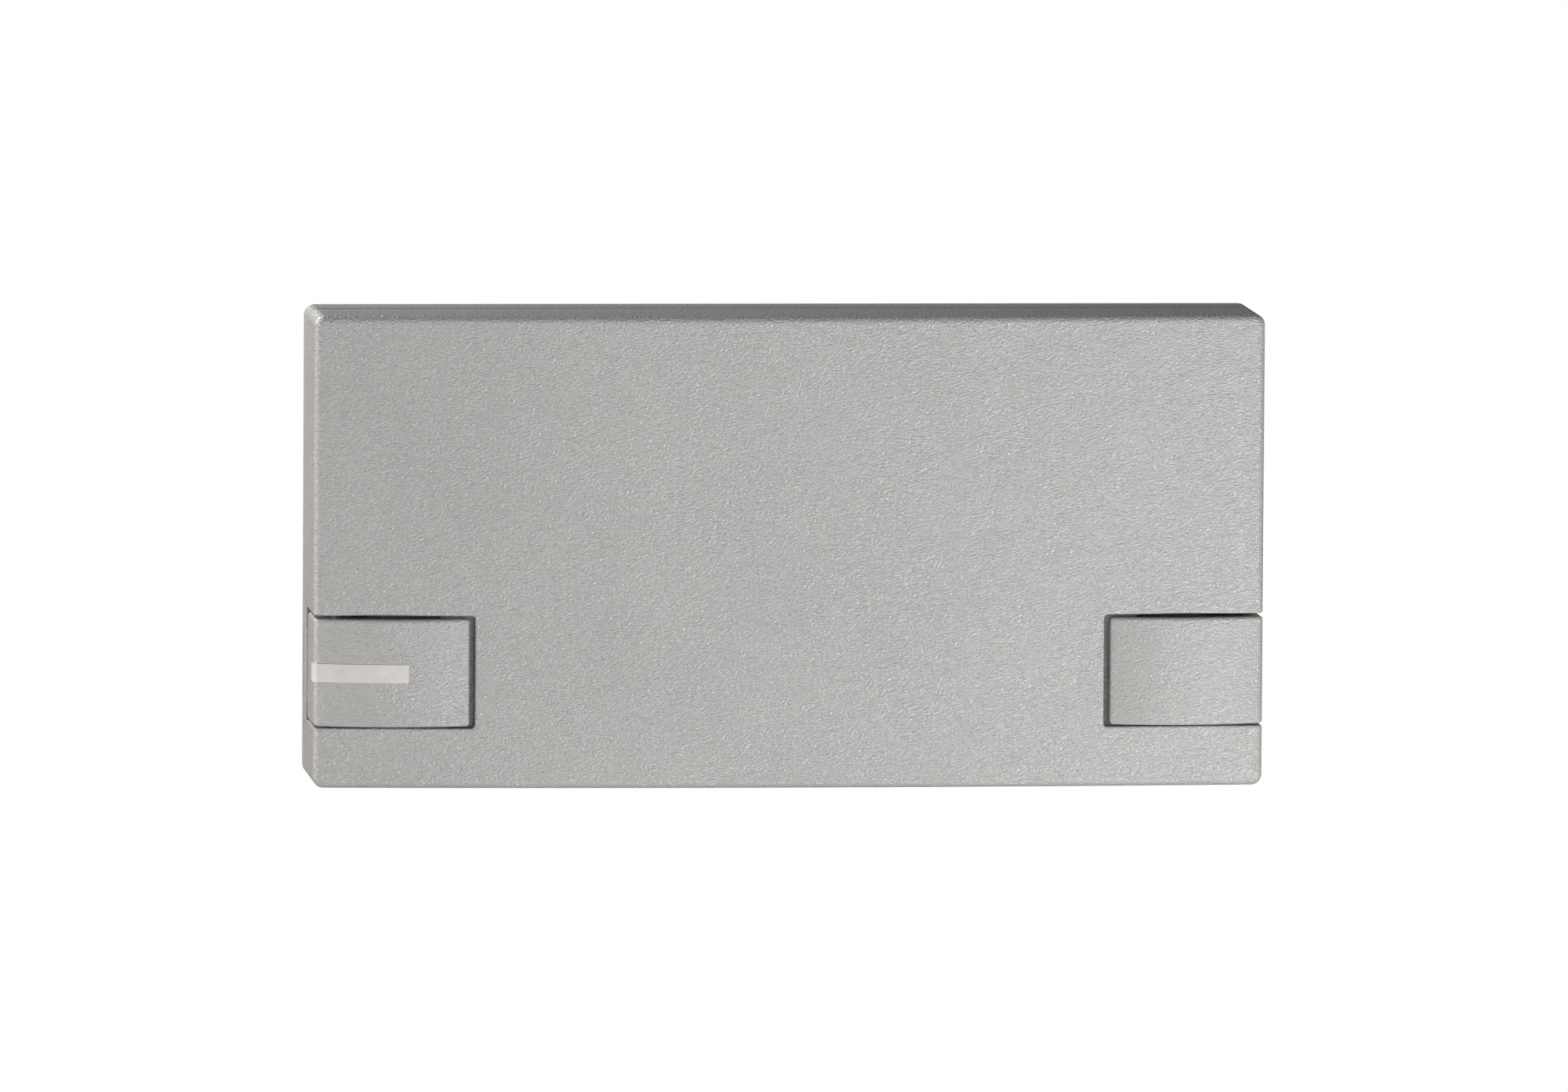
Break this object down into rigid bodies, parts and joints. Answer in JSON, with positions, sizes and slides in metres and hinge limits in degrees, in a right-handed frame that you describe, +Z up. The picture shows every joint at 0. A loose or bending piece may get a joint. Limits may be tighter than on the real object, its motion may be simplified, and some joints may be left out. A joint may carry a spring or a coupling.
{
  "type": "wall battery unit",
  "caption": "Flat wall-mounted battery case with a grained front cover hinged at the top, swinging corner latches, and a cell pack with control board inside.",
  "frame": {"origin": "centre of the back face, on the wall plane", "axes": "+Z up, +Y into the wall, front faces -Y, +X to the viewer's right"},
  "size_m": [0.2522, 0.0475, 0.125],
  "materials": {
    "case_plastic": "moulded with a fine leather grain",
    "strip": "smooth pale, blank",
    "steel": "zinc plated",
    "spring_steel": "plain spring steel",
    "black_plastic": "glass filled",
    "grommet_rubber": "matt rubber",
    "board": "green solder mask",
    "component_black": "moulded epoxy",
    "heatsink_aluminium": "extruded, plain",
    "capacitor_sleeve": "shrink sleeve",
    "connector_white": "nylon",
    "fuse_plastic": "tinted clear plastic, drawn solid",
    "terminal_green": "nylon",
    "terminal_metal": "plated",
    "lead_black": "PVC insulation",
    "lead_red": "PVC insulation",
    "tap_sleeve": "PVC insulation",
    "cell_sleeve": "shrink sleeve over a steel can",
    "nickel": "nickel strip"
  },
  "bodies": {
    "base": {"base_shell": "case_plastic", "hinge_pins": "steel", "keeper_left": "spring_steel", "keeper_right": "spring_steel", "cell_1": "cell_sleeve", "cell_2": "cell_sleeve", "cell_3": "cell_sleeve", "cell_4": "cell_sleeve", "cell_5": "cell_sleeve", "cell_6": "cell_sleeve", "cell_7": "cell_sleeve", "cell_8": "cell_sleeve", "holder_upper": "black_plastic", "holder_lower": "black_plastic", "busbar_top_left": "nickel", "busbar_top_right": "nickel", "busbar_negative": "nickel", "busbar_middle": "nickel", "busbar_positive": "nickel", "pack_screws": "steel", "cable_grommet": "grommet_rubber", "cable_clamp": "black_plastic", "clamp_screws": "steel", "control_board": "board", "board_screws": "steel", "mosfets": "component_black", "heatsink": "heatsink_aluminium", "controller_chip": "component_black", "capacitors": "capacitor_sleeve", "inductor": "component_black", "balance_connector": "connector_white", "fuse_holder": "black_plastic", "blade_fuse": "fuse_plastic", "terminal_block": "terminal_green", "terminal_screws": "terminal_metal", "lead_negative": "lead_black", "lead_positive": "lead_red", "balance_leads": "tap_sleeve"},
    "cover": {"cover_shell": "case_plastic", "latch_pins": "steel"},
    "latch_left": {"latch_left": "case_plastic", "marking_strip": "strip"},
    "latch_right": {"latch_right": "case_plastic"}
  },
  "joints": [
    {"name": "cover_hinge", "type": "hinge", "parent": "base", "child": "cover", "pos_m": [0, -0.0185, 0.0605], "axis": [-1, 0, 0], "range_deg": [0, 95], "deforming": ["keeper_left", "keeper_right"]},
    {"name": "latch_left_pivot", "type": "hinge", "parent": "cover", "child": "latch_left", "pos_m": [-0.119, -0.0285, -0.0319], "axis": [0, 0, -1], "range_deg": [0, 60]},
    {"name": "latch_right_pivot", "type": "hinge", "parent": "cover", "child": "latch_right", "pos_m": [0.119, -0.0285, -0.0319], "axis": [0, 0, 1], "range_deg": [0, 60]}
  ]
}
